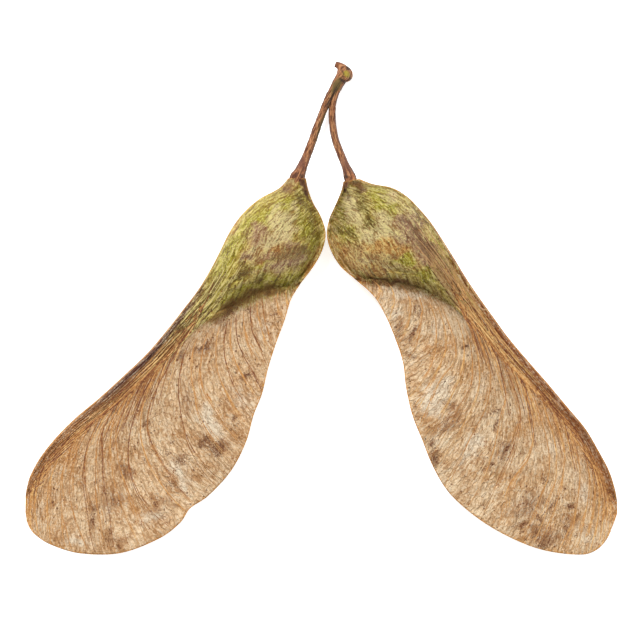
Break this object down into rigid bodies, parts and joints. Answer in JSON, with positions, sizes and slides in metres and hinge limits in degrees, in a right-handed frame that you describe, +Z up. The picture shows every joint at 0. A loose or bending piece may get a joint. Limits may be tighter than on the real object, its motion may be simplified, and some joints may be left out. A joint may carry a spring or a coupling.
{
  "type": "maple samara pair",
  "caption": "Joined maple samaras on a forked stalk: swollen ribbed nuts, each with a long veined wing, spread like an open V and lying flat.",
  "frame": {"origin": "middle of the pair's outline seen from above, on the surface it lies on", "axes": "+X from the left wing tip to the right wing tip, +Y towards the knob of the stalk, +Z up from the surface"},
  "size_m": [0.0535, 0.0446, 0.006],
  "materials": {
    "samara": "dry papery wing, fibrous olive nut",
    "stalk": "dry red-brown skin"
  },
  "bodies": {
    "root": {"samara_left": "samara", "samara_right": "samara", "stalk": "stalk"}
  },
  "joints": []
}
